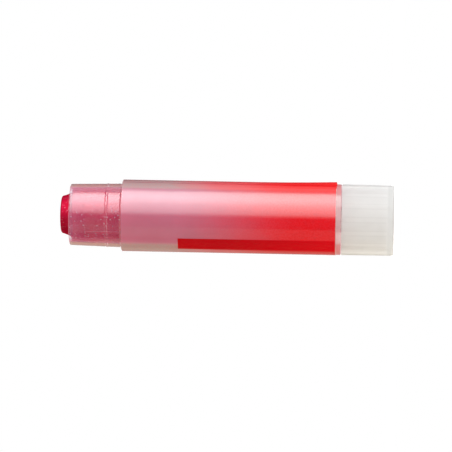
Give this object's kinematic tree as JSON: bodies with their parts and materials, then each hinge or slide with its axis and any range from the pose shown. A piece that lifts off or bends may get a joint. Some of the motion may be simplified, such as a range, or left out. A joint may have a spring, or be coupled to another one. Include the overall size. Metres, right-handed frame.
{
  "type": "pigment art stick",
  "caption": "Twist-up pigment stick in a translucent tube with a snap neck, a printed gradient film and a frosted knob that turns a lead screw and feeds the stick.",
  "frame": {"origin": "centre of the knob's flat end, on the axis", "axes": "+Z along the axis from the knob to the pigment tip; -Y is the side with the dark printed strip nearby, the side the picture shows"},
  "size_m": [0.0171, 0.017, 0.0793],
  "materials": {
    "tube": "satin translucent",
    "film": "printed clear film",
    "knob": "frosted",
    "screw": "natural moulded",
    "carrier": "natural moulded",
    "pigment": "waxy, faintly pearled"
  },
  "bodies": {
    "tube": {"barrel": "tube", "label_film": "film"},
    "knob": {"twist_knob": "knob", "lead_screw": "screw"},
    "feed": {"carrier_cup": "carrier", "pigment_stick": "pigment"}
  },
  "joints": [
    {"name": "knob_turn", "type": "hinge", "parent": "tube", "child": "knob", "pos_m": [0, 0, 0.006], "axis": [0, 0, 1], "range_deg": [-270, 4140]},
    {"name": "stick_feed", "type": "slide", "parent": "tube", "child": "feed", "axis": [0, 0, 1], "range_m": [-0.003, 0.046]}
  ],
  "couplings": [
    {"joint": "knob_turn", "follows": "stick_feed", "rad_per_m": 1570.8}
  ]
}
